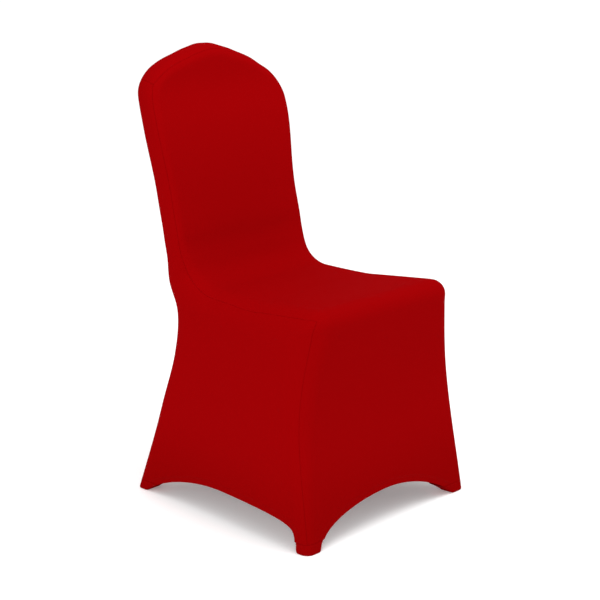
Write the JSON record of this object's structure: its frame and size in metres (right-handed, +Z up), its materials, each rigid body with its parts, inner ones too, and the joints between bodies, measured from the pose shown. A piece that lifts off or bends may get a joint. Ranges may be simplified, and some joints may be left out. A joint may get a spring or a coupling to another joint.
{
  "type": "stretch chair cover",
  "caption": "Hollow fitted cover of taut stretch knit for a crown-back banquet chair, with arched hems and closed foot pockets.",
  "frame": {"origin": "middle of the cover's box, on the floor that the feet stand on", "axes": "+X along the width of the seat, -Y towards the front of the seat, +Z up"},
  "size_m": [0.5094, 0.5336, 0.9372],
  "materials": {
    "red_knit": "deep red polyester and spandex knit, matt",
    "pocket_knit": "the same deep red knit, doubled"
  },
  "bodies": {
    "root": {"front_panel": "red_knit", "back_panel": "red_knit", "side_panel_left": "red_knit", "side_panel_right": "red_knit", "foot_pocket_front_left": "pocket_knit", "foot_pocket_front_right": "pocket_knit", "foot_pocket_rear_left": "pocket_knit", "foot_pocket_rear_right": "pocket_knit"}
  },
  "joints": []
}
